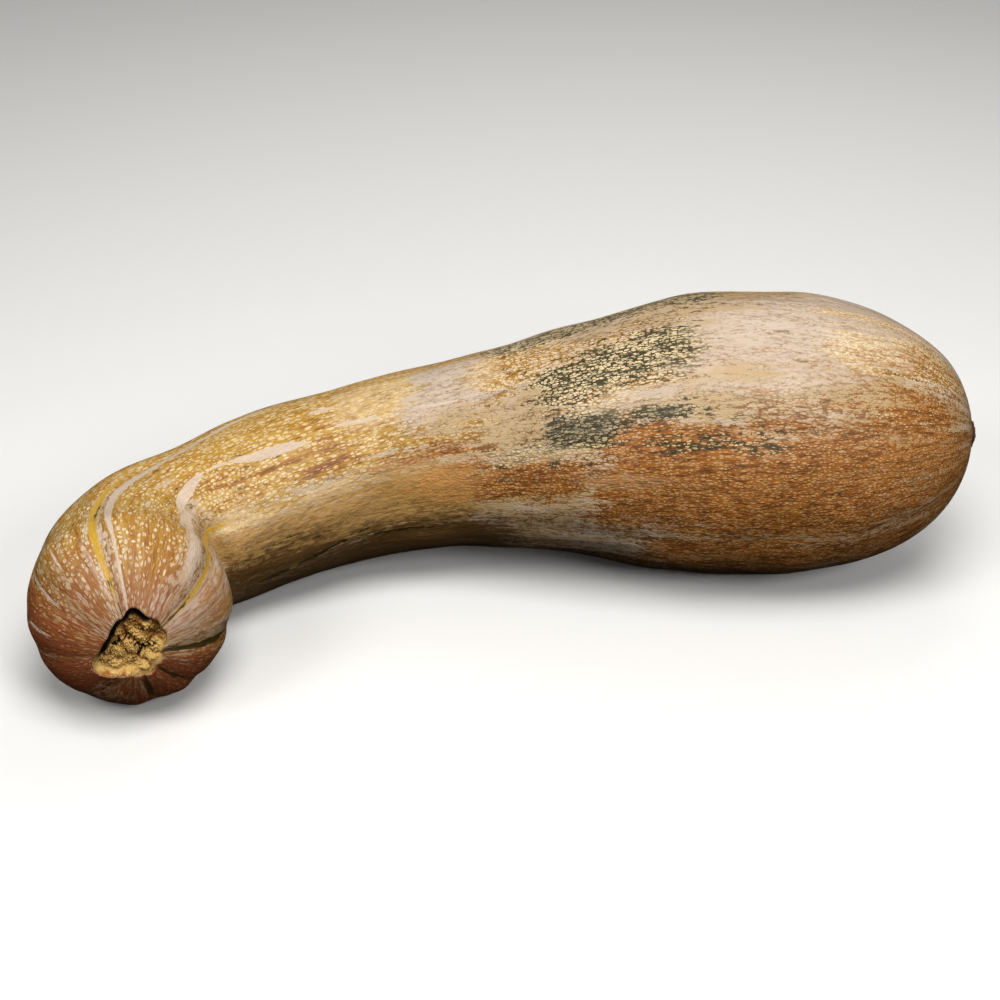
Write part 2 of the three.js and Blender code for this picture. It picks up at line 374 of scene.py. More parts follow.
# Yellow lines and green lines, given as pale marks are.
YELLOW_LINES = [
    (540, 645, 106, 104, 2.5), (500, 655, 31, 28.5, 2.3), (470, 556, 123, 116, 1.2),
    (600, 650, 66, 66, 0.4), (430, 520, 132, 128, 0.8), (540, 640, 279, 279, 1.2),
]
GREEN_LINES = [
    (612, 664, -18, -17, 2.6), (622, 664, -53, -53, 1.6), (628, 664, -81, -81, 1.5),
    (566, 604, 103.5, 104, 0.7), (394, 500, -8, -25, 1.7), (330, 430, -19, -13, 1.0),
    (610, 654, 236, 236, 0.6), (636, 662, 104, 103, 0.8), (420, 470, 2, -4, 0.8),
    (440, 500, 8, 2, 0.5), (636, 662, 29, 28, 1.0),
]
# The side that lies away from view, and the underside, carry the same kinds of marks strewn by chance. They
# lie between two angles round, start between two distances along, end by a last one, and drift a little.
STREWN_BETWEEN = (146, 292)
STREWN_STARTS = (-20, 490)
STREWN_LAST = 555
STREWN_DRIFT = 7
# Each kind of patch: the placed ones, how many are strewn, the least and most of their half widths, lengths
# and strengths, and over how many millimetres the ends fade.
PATCHES = {
    "green": (GREEN_NET, 9, (3, 9), (40, 110), (0.6, 1.1), 16),
    "rust": (RUST_NET, 26, (6, 16), (60, 190), (0.5, 1), 30),
    "gold": (GOLD_NET, 24, (8, 20), (70, 180), (0.5, 1), 26),
    "bare": (BARE_AND_SHEEN, 18, (6, 16), (60, 160), (0.5, 1), 30),
    "ochre": (OCHRE, 10, (8, 16), (80, 180), (0.5, 1), 36),
}
PLACED_PATCHES = {
    "blush": (BLUSH_AND_SHADE, 30), "shaded": (SHADED, 30), "slate": (SLATE, 14), "pale_band": (PALE_BANDS, 16),
}
# Each kind of line: the placed ones, how many are strewn, and the least and most of their half widths and
# lengths.
LINES = {
    "pale_mark": (PALE_MARKS, 26, (1, 3.4), (24, 80)),
    "yellow_line": (YELLOW_LINES, 6, (0.6, 1.6), (50, 110)),
    "green_line": (GREEN_LINES, 7, (0.5, 1.5), (40, 110)),
}
# Over which distances along the bulb turns into the neck, and the neck into the dome.
PARTS = {"neck": (250, 350), "dome": (530, 600)}


def fade(along, start, end, soft):
    """From 0 to 1 and back to 0, softly about a start and an end."""
    return smoothstep(along, start - soft, start + soft) * (1 - smoothstep(along, end - soft, end + soft))


def patch_field(patches, along, round_at, soft):
    """How strongly each point lies in any of the patches: 0 far from them all."""
    field = 0 * (along + round_at)
    for start, end, round_start, round_end, half_width, strength in patches:
        run = np.clip((along - start) / (end - start), -0.5, 1.5)
        off = apart(round_start + (round_end - round_start) * run, round_at)
        across = 1 / (1 + (np.abs(off) / half_width) ** 3)
        field = np.maximum(field, strength * across * fade(along, start, end, soft))
    return field


LINE_REACH = 6  # beyond this many millimetres a line isn't felt


def line_field(lines, along, round_at):
    """How many millimetres inside the nearest line each point lies. Lines narrow to a point at both ends."""
    field = 0 * (along + round_at) - LINE_REACH
    per_degree = np.radians(radius_at(along))
    for start, end, round_start, round_end, half_width in lines:
        run = np.clip((along - start) / (end - start), 0, 1)
        off = apart(round_start + (round_end - round_start) * run, round_at) * per_degree
        beyond = np.maximum(start - along, along - end)
        width = half_width * (1 - (2 * run - 1) ** 2) ** 0.6
        inside = np.where(beyond > 0, -np.hypot(off, beyond), width - np.abs(off))
        field = np.maximum(field, inside)
    return field


def strewn(draw, count, widths, lengths, strengths=None):
    """Marks at random on the far side, each drifting a little round as it runs along."""
    made = []
    for _ in range(count):
        start = draw.uniform(*STREWN_STARTS)
        end = min(start + draw.uniform(*lengths), STREWN_LAST)
        middle = draw.uniform(*STREWN_BETWEEN)
        mark = (start, end, middle, middle + draw.uniform(-STREWN_DRIFT, STREWN_DRIFT), draw.uniform(*widths))
        made.append(mark if strengths is None else mark + (draw.uniform(*strengths),))
    return made


def colour_fields(along, round_at):
    """A field over the skin for every kind of patch, line and part of the fruit."""
    draw = np.random.default_rng(SEED + 3)
    fields = {}
    for name, (known, count, widths, lengths, strengths, soft) in PATCHES.items():
        patches = known + strewn(draw, count, widths, lengths, strengths)
        fields[name] = patch_field(patches, along, round_at, soft)
    for name, (known, soft) in PLACED_PATCHES.items():
        fields[name] = patch_field(known, along, round_at, soft)
    for name, (known, count, widths, lengths) in LINES.items():
        fields[name] = line_field(known + strewn(draw, count, widths, lengths), along, round_at)
    for name, (start, end) in PARTS.items():
        fields[name] = smoothstep(along, start, end) + 0 * round_at
    return fields


def make_piece(name, points, last_pole, first_pole=None):
    """A mesh from a grid of points, rings by sides, closed to a pole at its last end or at both ends."""
    rings, sides = points.shape[:2]
    corners = points.reshape(-1, 3)
    ring = np.arange(rings - 1)[:, None] * sides
    side = np.arange(sides)[None, :]
    following = (side + 1) % sides
    quads = np.stack([ring + side, ring + following, ring + sides + following, ring + sides + side], -1)
    faces = quads.reshape(-1, 4).tolist()
    neighbours = [(int(a), int(b)) for a, b in zip(side[0], following[0])]
    poles = []
    if first_pole is not None:
        faces += [(len(corners), b, a) for a, b in neighbours]
        poles.append(first_pole)
    last = (rings - 1) * sides
    faces += [(len(corners) + len(poles), last + a, last + b) for a, b in neighbours]
    poles.append(last_pole)
    corners = np.vstack([corners, poles])
    mesh = bpy.data.meshes.new(name)
    mesh.from_pydata(corners.tolist(), [], faces)
    mesh.update()
    mesh.shade_smooth()
    piece = bpy.data.objects.new(name, mesh)
    bpy.context.scene.collection.objects.link(piece)
    return piece


def give_number(piece, name, values, at_poles):
    """Gives each point of a piece a number, and then its poles theirs."""
    layer = piece.data.attributes.new(name, "FLOAT", "POINT")
    layer.data.foreach_set("value", np.append(values.ravel(), at_poles).astype(np.float32))


def give_vector(piece, name, values, at_poles):
    layer = piece.data.attributes.new(name, "FLOAT_VECTOR", "POINT")
    layer.data.foreach_set("vector", np.append(values.ravel(), at_poles).astype(np.float32))


def middle_point(along):
    """A point in the middle of the fruit."""
    return bend(np.array(along), np.array(0.0), np.array(0.0))


def add_piece(piece, finish):
    piece.data.materials.append(finish)
    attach(piece, "root")
    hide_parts("pumpkin")
    return piece


# The height of the solid's button and the radius of its face, by which the fruit is placed.
BUTTON_HEIGHT = 3.4
BUTTON_FACE = 5.0
ROUND = np.arange(SKIN_SIDES) * 360 / SKIN_SIDES
# The net's cells are longer than they are wide, and larger on the neck than on the bulb. Each station is a
# distance along and a size.
CELL_LENGTH = [(0, 3.2), (240, 3.4), (360, 4.6), (540, 4.8), (620, 5), (655, 4.4)]
CELL_WIDTH = [(0, 1.4), (240, 1.45), (360, 2.0), (540, 2.4), (620, 2.6), (655, 2.3)]
ROWS_NARROW_INSIDE = 46  # radius inside which rows of cells crowd together towards the scar
SKIN_START = 0.6  # of the skin's pole under the button
BRIM_STEPS = 12
BRIM_GAP = 1.2
LIP_SHARES = (0.985, 0.965, 0.955)  # of the rim's distance, going in over the lip and down the torn wall
LIP_DEPTHS = (0.25, 0.55, 1.0)  # as shares of the way down the wall
FLOOR_BELOW = 2.5  # of the skin's floor under the cork
FLOOR_ALONG = LENGTH - CREVICE["depth"] - FLOOR_BELOW - 2
FLOOR_SHARES = (0.9, 0.7, 0.45, 0.2)


def skin_grid():
    """All rings of the skin: the fruit as far as the brim, the brim, the lip, and a floor under the cork."""
    along, surface = skin_rings()
    along, surface = along[1:], surface[1:]
    round_at = ROUND[None, :]
    points = [skin_point(along[:, None], round_at)]
    shares = np.linspace(1, 0, BRIM_STEPS + 1)[1:]
    points.append(brim_point(shares[:, None], round_at))
    rim_along = along_at_radius(rim_radius(ROUND)) + flap_height(ROUND)
    reach = scar_reach(ROUND)
    depth = crevice_depth(ROUND) + FLOOR_BELOW
    for share, fall in zip(LIP_SHARES, LIP_DEPTHS):
        points.append(bend(rim_along - depth * fall, reach * share, ROUND)[None])
    for share in FLOOR_SHARES:
        points.append(bend(np.minimum(rim_along - depth, FLOOR_ALONG), reach * share, ROUND)[None])
    grid = np.concatenate(points)
    beyond = len(grid) - len(along)
    span = surface[-1] + np.minimum(np.arange(1, beyond + 1), BRIM_STEPS + 1) * BRIM_GAP
    distance = np.concatenate([surface, span])
    reached = np.concatenate([along, np.linspace(along[-1], LENGTH, beyond)])
    radius = np.concatenate([radius_at(along), np.linspace(BRIM_RADIUS, SCAR_RADIUS, beyond)])
    return grid, reached, distance, radius


SKIN_GRID, SKIN_ALONG, SKIN_DISTANCE, SKIN_RADIUS = skin_grid()


def placing():
    """The shift that centres the fruit over its origin and sinks it as far as the solid."""
    button = bend(-BUTTON_HEIGHT, BUTTON_FACE, ROUND)
    outline = np.concatenate([SKIN_GRID.reshape(-1, 3), button])
    low = outline.min(0)
    high = outline.max(0)
    centre = (low + high) / 2
    return np.array([-centre[0], -centre[1], -low[2] - SUNK])


SHIFT = placing()


def placed(points):
    """Points of the fruit where it lies, pressed flat where it meets the ground."""
    moved = points + SHIFT
    moved[..., 2] = np.maximum(moved[..., 2], 0)
    return moved * MM


def make_skin(finish):
    """The whole rind, with the places of its grain and net and the fields of its colours on its points."""
    pole = placed(middle_point(SKIN_START))
    floor = placed(middle_point(FLOOR_ALONG))
    piece = make_piece("rind", placed(SKIN_GRID), floor, pole)
    distance = np.repeat(SKIN_DISTANCE, SKIN_SIDES)
    round_at = np.tile(ROUND, len(SKIN_DISTANCE))
    row = np.maximum(SKIN_RADIUS, ROWS_NARROW_INSIDE) / through(CELL_WIDTH, SKIN_ALONG)
    count = np.cumsum(np.diff(SKIN_DISTANCE, prepend=0) / through(CELL_LENGTH, SKIN_ALONG))
    grain = [distance, *across_and_over(SKIN_GRAIN_RADIUS, round_at)]
    net = [np.repeat(count, SKIN_SIDES), *across_and_over(np.repeat(row, SKIN_SIDES), round_at)]
    # The first pole lies under the button and the last under the cork, both out of sight.
    poles = [[0, 0, 0], [distance[-1] + 6, 0, 0]]
    give_vector(piece, "grain", np.stack(grain, -1), poles)
    give_vector(piece, "net", np.stack(net, -1), poles)
    for name, field in colour_fields(SKIN_ALONG[:, None], ROUND[None, :]).items():
        give_number(piece, name, field, [0, 0])
    rings = len(SKIN_GRID)
    inside = np.arange(rings)[:, None] >= rings - len(LIP_SHARES) - len(FLOOR_SHARES)
    # Painted shade darkens the torn wall, most where the crevice is deep; it is pale where it is shallow.
    deep = smoothstep(crevice_depth(ROUND[None, :]), 2.2, 4.5)
    give_number(piece, "scar_wall_shade", inside * (0.35 + 0.65 * deep), [0, 1])
    give_number(piece, "flap", inside * (1 - deep), [0, 0])
    return add_piece(piece, finish)


# The cork's torn lumps, coarse to fine: the size of each kind and how high it stands.
CORK_BILLOWS = [(15, 1.3), (5, 0.5), (2.6, 0.6), (1.3, 0.42)]
CORK_BILLOW_WAVES = [Waves(SEED + 4 + i, (size, size), 28) for i, (size, _) in enumerate(CORK_BILLOWS)]
CORK_BILLOW_RISE = 3.6
CORK_BASE = 1.2  # how much deeper than the solid's cork the creases lie
CORK_FILL = 0.985  # share of the rim's distance that the cork reaches
CREVICE_DROP = 0.3  # of the cork under the solid's crevice
# Each crack's two ends, across and over.
CORK_CRACKS = [(-4, 5, 4, -3), (4, -3, 12, -1), (-12, 1, -4, 5), (1, -8, 4, -3)]
CORK_CRACK_WIDTH = 0.9
CORK_CRACK_DEPTH = 1.6
FAR_OFF = 99.0


def cork_lumps(across, over):
    """Rounded lumps that meet in sharp creases, from 0 in a crease to about 1 on the highest."""
    total = 0
    for waves, (_, height) in zip(CORK_BILLOW_WAVES, CORK_BILLOWS):
        total = total + height * np.abs(waves(across, over))
    return total / sum(height for _, height in CORK_BILLOWS)


def crack_nearness(across, over):
    """1 on the cracks that run across the cork, which are sunk and painted dark with shade, falling to 0
    beside them.
    """
    sway = 0.8 * CORK_BILLOW_WAVES[1](across, over)
    nearest = np.full(across.shape, FAR_OFF)
    for x0, y0, x1, y1 in CORK_CRACKS:
        run = ((across - x0) * (x1 - x0) + (over - y0) * (y1 - y0)) / ((x1 - x0) ** 2 + (y1 - y0) ** 2)
        run = np.clip(run, 0, 1)
        gone = np.hypot(across - x0 - run * (x1 - x0), over - y0 - run * (y1 - y0) + sway)
        nearest = np.minimum(nearest, gone)
    return bump(nearest + 0.35 * CORK_BILLOW_WAVES[2](across, over), CORK_CRACK_WIDTH)


def make_cork(finish):
    """The dried, crumbled cork where the stem broke away, sunk inside the rim."""
    share = np.linspace(1, 0, CORK_RINGS, endpoint=False)[:, None]
    round_at = (np.arange(CORK_SIDES) * 360 / CORK_SIDES)[None, :]
    turn = np.radians(round_at)
    reach = scar_reach(round_at)
    across, over = across_and_over(reach * share, round_at)
    crevice = crevice_depth(round_at)
    risen = smoothstep(1 - share, CREVICE_WALL, CORK_EDGE)
    lump = np.sin(CORK_LUMPS["times"] * turn + CORK_LUMPS["twist"] * share)
    rough = lump * np.cos(CORK_LUMPS["waves"] * share) * smoothstep(share, 0, CORK_EDGE)
    lumps = cork_lumps(across, over)
    crack = crack_nearness(across, over)
    face = CORK_SINK + CORK_BASE - CORK_LUMPS["height"] * rough
    face = face - CORK_BILLOW_RISE * lumps + CORK_CRACK_DEPTH * crack
    depth = crevice + CREVICE_DROP + (face - crevice) * risen
    # Painted shade gathers near the rim where the crevice is deep. The flap's torn flesh stands up at its own
    # place.
    shaded = (1 - smoothstep(1 - share, 0.12, 0.33)) * smoothstep(crevice, 2.5, 5.5)
    torn = bump(apart(FLAP["round"], round_at), FLAP["half_width"] * 1.3) * smoothstep(share, 0.74, 0.93)
    depth = depth * (1 - 0.9 * torn) - FLAP["height"] * torn * (0.6 + 0.8 * lumps)
    points = bend(scar_level(share, round_at) - depth, reach * share * CORK_FILL, round_at)
    piece = make_piece("stem_scar", placed(points), placed(middle_point(LENGTH - CORK_SINK - 1)))
    give_vector(piece, "grain", np.stack([across, over, 0 * across], -1), [0, 0, 0])
    # Painted light: the lower half of the cork, and the tops of its lumps, are coloured lighter than the
    # rest.
    lower = smoothstep(-over, -16, 12) * 0.7 - 0.35
    give_number(piece, "light", np.clip(lumps * 1.5 + lower - 0.25 - 0.3 * crack, 0, 1), 0.5)
    # Painted shade, nearly black, in the cracks and near the rim where the crevice is deep.
    give_number(piece, "crack_and_rim_shade", np.clip(crack * 0.9 + shaded * (1 - torn), 0, 1), 0)
    give_number(piece, "torn", torn, 0)
    return add_piece(piece, finish)


# The button's outline, from its foot to its middle: each radius and height.
BUTTON = [
    (10.2, -2.4), (9.4, -0.4), (8.9, 1.0), (8.0, 2.1), (6.2, 2.7),
    (4.2, 2.6), (2.6, 3.1), (1.2, 3.6), (0.4, 3.5),
]
BUTTON_MIDDLE = 3.2
BUTTON_LUMPS = Waves(SEED + 8, (4.5, 4.5), 24)
BUTTON_LUMP_HEIGHT = 0.4
BUTTON_GRIT = Waves(SEED + 9, (1.6, 1.6), 30)
BUTTON_GRIT_HEIGHT = 0.22


def make_button(finish):
    """The corky button that the dried flower left, ringed and rough, standing out of the blossom end."""
    outline = np.array(BUTTON, float)
    steps = np.linspace(0, len(outline) - 1, BUTTON_RINGS)
    radius = np.interp(steps, range(len(outline)), outline[:, 0])[:, None]
    height = np.interp(steps, range(len(outline)), outline[:, 1])[:, None]
    round_at = (np.arange(BUTTON_SIDES) * 360 / BUTTON_SIDES)[None, :]
    turn = np.radians(round_at)
    across, over = across_and_over(radius, round_at)
    lobed = 1 + 0.05 * np.sin(5 * turn + 0.7) + 0.03 * np.sin(3 * turn)
    lumps = BUTTON_LUMPS(across, over)
    grit = BUTTON_GRIT(across, over)
    rise = height + (BUTTON_LUMP_HEIGHT * lumps + BUTTON_GRIT_HEIGHT * grit) * smoothstep(height, -1, 1)
    points = bend(-rise, radius * lobed, round_at)
    piece = make_piece("blossom_button", placed(points), placed(middle_point(-BUTTON_MIDDLE)))
    give_vector(piece, "grain", np.stack([across, over, 0 * across], -1), [0, 0, 0])
    give_number(piece, "light", np.clip(0.5 + 0.4 * lumps + 0.3 * grit, 0, 1), 0.5)
    give_number(piece, "edge", smoothstep(radius + 0 * turn, 6.5, 9.2), 0)
    return add_piece(piece, finish)


class Wire:
    """A socket's value in an expression: what is done to it becomes a Math node."""

    def __init__(self, tree, socket):
        self.tree = tree
        self.socket = socket

    def maths(self, operation, first, second):
        return self.tree.node("Math", {"operation": operation}, {"Value": first, "Value_001": second})

    def __add__(self, other):
        return self.maths("ADD", self, other)

    def __radd__(self, other):
        return self.maths("ADD", other, self)

    def __sub__(self, other):
        return self.maths("SUBTRACT", self, other)

    def __rsub__(self, other):
        return self.maths("SUBTRACT", other, self)

    def __mul__(self, other):
        return self.maths("MULTIPLY", self, other)

    def __rmul__(self, other):
        return self.maths("MULTIPLY", other, self)


class Tree:
    """The nodes of a material or of the air, built one by one to feed its surface node."""

    def __init__(self, owner, surface, constants):
        owner.use_nodes = True
        self.nodes = owner.node_tree.nodes
        self.links = owner.node_tree.links
        self.surface = self.nodes[surface]
        for socket, value in constants.items():
            self.surface.inputs[socket.replace("_", " ")].default_value = value

    def port(self, sockets, wanted):
        return next(one for one in sockets if one.enabled and wanted in (one.identifier, one.name))

    def node(self, kind, settings=None, sockets=None, output=None):
        """Adds a node: its settings first, then values or wires for its sockets. Gives one output."""
        made = self.nodes.new("ShaderNode" + kind)
        for name, value in (settings or {}).items():
            setattr(made, name, value)
        for name, value in (sockets or {}).items():
            socket = self.port(made.inputs, name)
            if isinstance(value, Wire):
                self.links.new(value.socket, socket)
            else:
                socket.default_value = value
        if output is None:
            return Wire(self, next(one for one in made.outputs if one.enabled))
        return Wire(self, self.port(made.outputs, output))

    def twin(self, wire, output):
        """Another output of the node that gave a wire."""
        return Wire(self, self.port(wire.socket.node.outputs, output))

    def mix(self, share, first, second):
        settings = {"data_type": "RGBA", "clamp_factor": True}
        sockets = {"Factor_Float": share, "A_Color": first, "B_Color": second}
        return self.node("Mix", settings, sockets, "Result_Color")

    def feed(self, socket, wire):
        self.links.new(wire.socket, self.surface.inputs[socket])


class Finish(Tree):
    """One material on a Principled surface."""

    def __init__(self, name, **constants):
        self.material = bpy.data.materials.new(name)
        super().__init__(self.material, "Principled BSDF", constants)

    def number(self, name):
        return self.node("Attribute", {"attribute_name": name}, output="Fac")

    def place(self, name, along, across):
        """A place on the surface, measured in steps of one size along and another across."""
        vector = self.node("Attribute", {"attribute_name": name}, output="Vector")
        scale = (1 / along, 1 / across, 1 / across)
        return self.node("VectorMath", {"operation": "MULTIPLY"}, {"Vector": vector, "Vector_001": scale})

    def moved(self, place, by):
        return self.node("VectorMath", {"operation": "ADD"}, {"Vector": place, "Vector_001": by})

    def noise(self, place, detail, rough, output="Fac"):
        sockets = {"Vector": place, "Scale": 1, "Detail": detail, "Roughness": rough}
        return self.node("TexNoise", {"noise_dimensions": "3D"}, sockets, output)

    def grain(self, along, across, detail, rough, by=None):
        """Noise over the surface, its size along and across in millimetres."""
        place = self.place("grain", along, across)
        return self.noise(self.moved(place, by) if by else place, detail, rough)

    def clip(self, value):
        return self.node("Clamp", None, {"Value": value}, "Result")

    def edge(self, value, low, high):
        settings = {"interpolation_type": "SMOOTHSTEP"}
        return self.node("MapRange", settings, {"Value": value, "From Min": low, "From Max": high}, "Result")

    def bump(self, height, distance, strength):
        sockets = {"Height": height, "Distance": distance * MM, "Strength": strength}
        return self.node("Bump", None, sockets, "Normal")


def shade(red, green, blue):
    """A colour from its usual 0 to 255 numbers."""
    part = [value / 255 for value in (red, green, blue)]
    return tuple(one / 12.92 if one <= 0.04045 else ((one + 0.055) / 1.055) ** 2.4 for one in part) + (1,)


TAN = shade(185, 157, 116)
PEACH = shade(199, 179, 160)
SAND = shade(184, 152, 104)
TAN_NET = shade(120, 90, 48)
GOLD_FLECK = shade(226, 199, 148)
DOME_FLECK = shade(230, 210, 174)
GOLD_GROUND = shade(184, 142, 52)
GOLD_DEEP = shade(166, 114, 30)
GOLD_BROWN = shade(160, 112, 32)
RUST_FLECK = shade(196, 142, 78)
RUST_GROUND = shade(158, 96, 32)
RUST_DEEP = shade(138, 82, 26)
RUST_DARK = shade(112, 64, 20)
GREEN_FLECK = shade(222, 199, 148)
GREEN_GROUND = shade(60, 51, 22)
SLATE_SKIN = shade(108, 104, 90)
PALE_SKIN = shade(210, 190, 170)
OCHRE_SKIN = shade(170, 126, 58)
OCHRE_LIGHT = shade(180, 140, 78)
OCHRE_DARK = shade(122, 86, 34)
YELLOW_SKIN = shade(194, 152, 40)
OLIVE_SKIN = shade(48, 44, 12)
BLUSH_AND_SHADE_SKIN = shade(140, 72, 44)
SHADED_SKIN = shade(78, 54, 26)
TORN_WALL_SHADE = shade(36, 18, 10)
TORN_LIGHT = shade(206, 162, 106)


def skin_noises(finish):
    """The skin's unevenness, most of it drawn out lengthways."""
    run = finish.grain(20, 2.2, 2, 0.55, (5, 1, 8)) - 0.5
    return SimpleNamespace(
        broad=finish.grain(80, 24, 2, 0.55),
        streak=finish.grain(36, 3.2, 4, 0.62),
        other_streak=finish.grain(60, 5, 4, 0.6, (7, 3, 5)),
        dash=finish.grain(8, 1.4, 3, 0.6, (3, 9, 1)),
        fibre=finish.grain(8, 0.8, 3, 0.6),
        mottle=finish.grain(8, 4, 4, 0.65),
        dent=finish.grain(10, 3, 2, 0.6),
        vein=1 - finish.edge(run * run, 0.0003, 0.003),
    )


def skin_net(finish):
    """How deep inside a cell of the net each point lies, and two chance numbers for each cell."""
    warp = finish.noise(finish.place("net", 1.2, 1.2), 2, 0.5, "Color")
    shift = finish.node("VectorMath", {"operation": "SCALE"}, {"Vector": warp, "Scale": 0.75})
    cells = finish.moved(finish.place("net", 1, 1), shift)
    sockets = {"Vector": cells, "Scale": 1, "Randomness": 0.95}
    border = finish.node("TexVoronoi", {"feature": "DISTANCE_TO_EDGE"}, sockets, "Distance")
    middle = finish.node("TexVoronoi", {"feature": "F1"}, sockets, "Distance")
    chance = finish.node("SeparateColor", None, {"Color": finish.twin(middle, "Color")}, "Red")
    return border * 0.6 + (0.5 - middle) * 0.36, chance, finish.twin(chance, "Green")


def skin_regions(finish, noise, chance):
    """How far each kind of patch and mark shows on the skin, with ragged edges drawn out lengthways."""
    wander = (noise.streak - 0.5) * 1.5 + (noise.broad - 0.5) * 0.7 + (chance - 0.5) * 0.22
    counter = (noise.other_streak - 0.5) * 1.9 + (chance - 0.5) * 0.15
    ragged = (noise.dash - 0.5) * 1.3 + (chance - 0.5) * 0.3
    # What is added to each field, and the values between which the sum comes to show.
    edges = {
        "green": (wander + ragged, 0.34, 0.66),
        "rust": (counter + ragged * 0.5, 0.2, 0.8),
        "gold": (wander, 0.26, 0.6),
        "bare": (counter, 0.3, 0.7),
        "ochre": (wander, 0.25, 0.75),
        "blush": (wander * 0.5, 0.05, 1.05),
        "shaded": (wander + ragged * 0.6, 0.1, 1.0),
        "slate": (wander * 0.8, 0.3, 0.8),
        "pale_band": (wander * 0.6, 0.35, 0.6),
        "pale_mark": (wander * 1.6, -0.25, 0.35),
        "yellow_line": (wander * 2.5, -0.6, 0.5),
        "green_line": (wander * 3 + ragged * 1.6 - 0.3, -0.4, 0.4),
    }
    shown = {"neck": finish.number("neck"), "dome": finish.number("dome")}
    for name, (uneven, low, high) in edges.items():
        shown[name] = finish.edge(finish.number(name) + uneven, low, high)
    return SimpleNamespace(**shown)


def net_lines(finish, noise, on, wall, chance):
    """How far the net's lines show, and the finer threads among them."""
    netted = finish.edge(noise.other_streak + (chance - 0.5) * 0.2, 0.36, 0.56)
    dashed = finish.edge(noise.dash, 0.36, 0.5)
    filled = 1 - finish.edge(chance, 0.08, 0.34)
    wider = 0.02 + 0.04 * on.neck + 0.05 * on.dome + filled * (0.06 * on.neck + 0.05 * on.dome)
    thick = 0.03 + (on.gold * wider + 0.1 * on.rust) * (1 - on.green)
    uneven = (noise.streak - 0.5) * 0.22 + (chance - 0.5) * 0.14
    thick = thick + 0.02 * on.green + uneven * (1 - 0.45 * on.green)
    line = 1 - finish.edge(wall - thick, -0.03, 0.04)
    marked = 0.8 * netted * dashed + 0.85 * on.gold + 0.85 * on.rust
    marked = finish.clip(marked + on.green * (0.45 + 0.55 * dashed))
    kept = (1 - 0.5 * on.bare) * (1 - 0.8 * on.ochre)
    threaded = finish.clip(0.5 * netted + 0.45 * on.rust + 0.95 * on.green + 0.4 * on.gold)
    return line * marked * kept, noise.vein * threaded * dashed * kept


def plain_colour(finish, noise, on):
    """Skin between the patches: tan and peach with sandy mottling, or weathered ochre."""
    plain = finish.mix(finish.edge(noise.broad, 0.35, 0.65), TAN, PEACH)
    sandy = finish.edge(noise.mottle + (noise.streak - 0.5) * 0.7, 0.44, 0.6)
    plain = finish.mix(sandy * (0.65 - 0.5 * on.bare), plain, SAND)
    # Peach laid over the smooth, bare skin, which on the bulb's top is a painted sheen.
    plain = finish.mix(on.bare * 0.8, plain, PEACH)
    weathered = finish.mix(finish.edge(noise.mottle, 0.4, 0.62), OCHRE_SKIN, OCHRE_LIGHT)
    weathered = finish.mix(finish.edge(noise.dash, 0.5, 0.66) * 0.55, weathered, OCHRE_DARK)
    return finish.mix(on.ochre * 0.9, plain, weathered)


def fleck_colour(finish, on, plain, chance):
    """The light flecks inside the net's cells, paler by chance."""
    pale = finish.mix(on.neck * (1 - on.dome), DOME_FLECK, GOLD_FLECK)
    fleck = finish.mix(on.gold * (0.6 + 0.4 * chance), plain, pale)
    fleck = finish.mix(on.rust * (0.5 + 0.5 * chance), fleck, RUST_FLECK)
    fleck = finish.mix(on.green * (0.4 + 0.5 * chance), fleck, GREEN_FLECK)
    return finish.mix(on.slate * (0.35 + 0.6 * chance), fleck, SLATE_SKIN)


def ground_colours(finish, noise, on):
    """The colour of the net's lines, and a deeper one for its threads and for fibres."""
    gilt = finish.mix(finish.edge(noise.other_streak, 0.45, 0.7), GOLD_GROUND, GOLD_DEEP)
    rusty = finish.mix(finish.edge(noise.streak, 0.46, 0.66), RUST_GROUND, RUST_DEEP)
    ground = finish.mix(on.gold, TAN_NET, finish.mix(on.neck, GOLD_BROWN, gilt))
    ground = finish.mix(on.rust, ground, rusty)
    deep = finish.mix(on.gold, TAN_NET, GOLD_DEEP)
    deep = finish.mix(on.rust, deep, RUST_DARK)
    return finish.mix(on.green, ground, GREEN_GROUND), finish.mix(on.green, deep, GREEN_GROUND)


